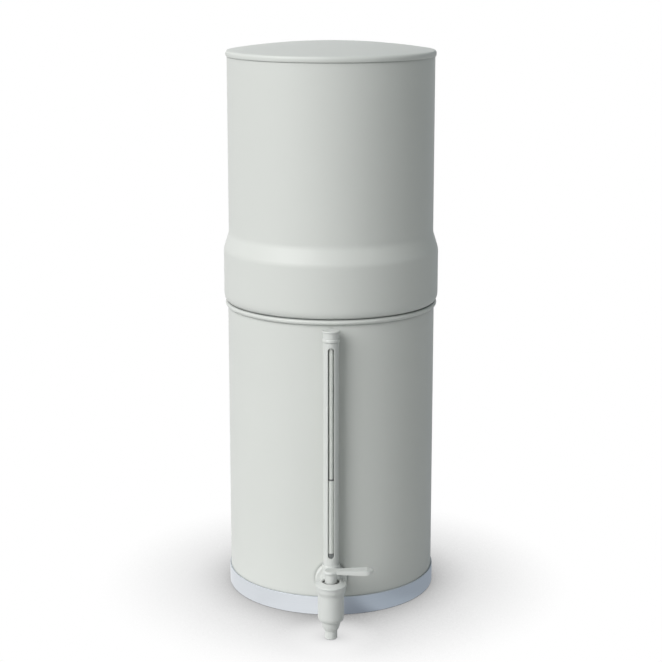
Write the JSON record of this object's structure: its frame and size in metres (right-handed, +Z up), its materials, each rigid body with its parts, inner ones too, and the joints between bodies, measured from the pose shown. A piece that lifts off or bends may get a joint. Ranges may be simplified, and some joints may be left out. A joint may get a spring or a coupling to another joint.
{
  "type": "gravity water filter",
  "caption": "Cylindrical gravity water filter: an upper tank with ceramic candles nests in a lower tank with a lever tap and a level gauge, under a cap lid.",
  "frame": {"origin": "centre of the base ring's foot, on the table", "axes": "+Z up along the common axis of the tanks, -Y towards the tap, +X to the right as seen from the tap side"},
  "size_m": [0.2236, 0.2953, 0.5776],
  "materials": {
    "painted_steel": "satin powder coat, pale grey",
    "bare_steel": "bare satin steel",
    "candle_ceramic": "unglazed fine ceramic",
    "carbon_block": "pressed carbon",
    "tap_plastic": "moulded plastic, semi-gloss, pale grey",
    "seal_rubber": "moulded rubber",
    "clear_tube": "clear tube",
    "float_plastic": "light foamed plastic sleeve",
    "float_mark": "dark marking ring"
  },
  "bodies": {
    "base": {"lower_tank": "painted_steel", "base_ring": "bare_steel", "tap_body": "tap_plastic", "tap_outer_washer": "seal_rubber", "tap_inner_washer": "seal_rubber", "tap_back_nut": "tap_plastic", "tap_bonnet": "tap_plastic", "tap_spout": "tap_plastic", "gauge_casing": "tap_plastic", "gauge_tube": "clear_tube", "gauge_seal": "seal_rubber", "gauge_cap": "tap_plastic", "gauge_guide_rod": "tap_plastic", "gauge_float_stop": "tap_plastic"},
    "upper": {"upper_tank": "painted_steel", "candle_shell_left": "candle_ceramic", "candle_shell_right": "candle_ceramic", "candle_core_left": "carbon_block", "candle_core_right": "carbon_block", "candle_base_left": "tap_plastic", "candle_base_right": "tap_plastic", "candle_washer_left": "seal_rubber", "candle_washer_right": "seal_rubber", "candle_wing_nut_left": "tap_plastic", "candle_wing_nut_right": "tap_plastic"},
    "lid": {"lid_shell": "painted_steel"},
    "lever": {"tap_lever": "tap_plastic", "tap_valve_core": "tap_plastic", "tap_o_rings": "seal_rubber"},
    "float": {"gauge_float": "float_plastic", "gauge_float_bands": "float_mark"}
  },
  "joints": [
    {"name": "upper_lift", "type": "slide", "parent": "base", "child": "upper", "axis": [0, 0, 1], "range_m": [0, 0.12]},
    {"name": "lid_lift", "type": "slide", "parent": "upper", "child": "lid", "axis": [0, 0, 1], "range_m": [0, 0.12]},
    {"name": "tap_turn", "type": "hinge", "parent": "base", "child": "lever", "pos_m": [0, -0.168, 0.0547], "axis": [0, 0, 1], "range_deg": [-90, 0]},
    {"name": "float_rise", "type": "slide", "parent": "base", "child": "float", "axis": [0, 0, 1], "range_m": [0, 0.13]}
  ]
}
